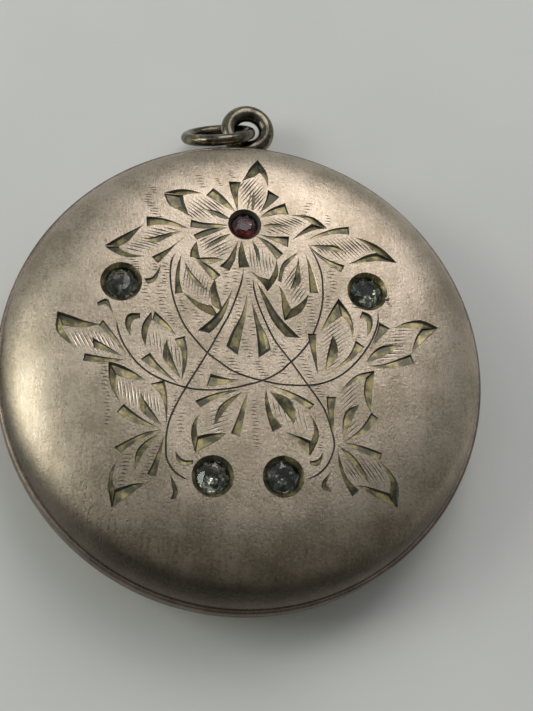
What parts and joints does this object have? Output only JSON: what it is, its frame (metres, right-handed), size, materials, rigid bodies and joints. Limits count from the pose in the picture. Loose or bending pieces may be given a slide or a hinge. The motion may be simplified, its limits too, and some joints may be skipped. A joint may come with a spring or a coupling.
{
  "type": "locket pendant",
  "caption": "Round hinged locket pendant with an engraved floral cover set with small round stones, glazed picture frames inside, a bail loop and a jump ring.",
  "frame": {"origin": "centre of the flat of the back, where the locket rests", "axes": "+Z out of the engraved cover, +Y towards the bail loop, +X away from the hinge"},
  "size_m": [0.0327, 0.0361, 0.0076],
  "materials": {
    "case_front": "satin plated metal with bright-cut engraving",
    "case_back": "satin plated metal",
    "rim_front": "worn plated metal",
    "rim_back": "worn plated metal",
    "frame_front": "satin gilt",
    "frame_back": "satin gilt",
    "window_front": "clear",
    "window_back": "clear",
    "card_front": "aged blank card",
    "card_back": "aged blank card",
    "lining_front": "dull sheet",
    "lining_back": "dull sheet",
    "red_stone": "faceted dark red paste",
    "clear_stone": "faceted clear paste",
    "foil": "bright foil",
    "hinge": "worn",
    "pin": "worn",
    "bail": "tarnished",
    "ring": "tarnished"
  },
  "bodies": {
    "back": {"back_cover": "case_back", "back_rim_ring": "rim_back", "back_picture_frame": "frame_back", "back_picture_window": "window_back", "back_picture_card": "card_back", "back_lining": "lining_back", "hinge_knuckle_back_upper": "hinge", "hinge_knuckle_back_lower": "hinge", "hinge_pin": "pin", "bail_foot": "bail", "bail_loop": "bail"},
    "front": {"front_cover": "case_front", "front_rim_ring": "rim_front", "front_picture_frame": "frame_front", "front_picture_window": "window_front", "front_picture_card": "card_front", "front_lining": "lining_front", "stone_red": "red_stone", "stone_left": "clear_stone", "stone_right": "clear_stone", "stone_lower_left": "clear_stone", "stone_lower_right": "clear_stone", "stone_foils": "foil", "hinge_knuckle_front": "hinge"},
    "jump_ring": {"jump_ring": "ring"}
  },
  "joints": [
    {"name": "lid_hinge", "type": "hinge", "parent": "back", "child": "front", "pos_m": [-0.01615, 0, 0.0038], "axis": [0, -1, 0], "range_deg": [0, 170]},
    {"name": "jump_ring_travel", "type": "hinge", "parent": "back", "child": "jump_ring", "pos_m": [0.00016, 0.0182, 0.0022], "axis": [0, 0, 1], "range_deg": [-205, 0]}
  ]
}
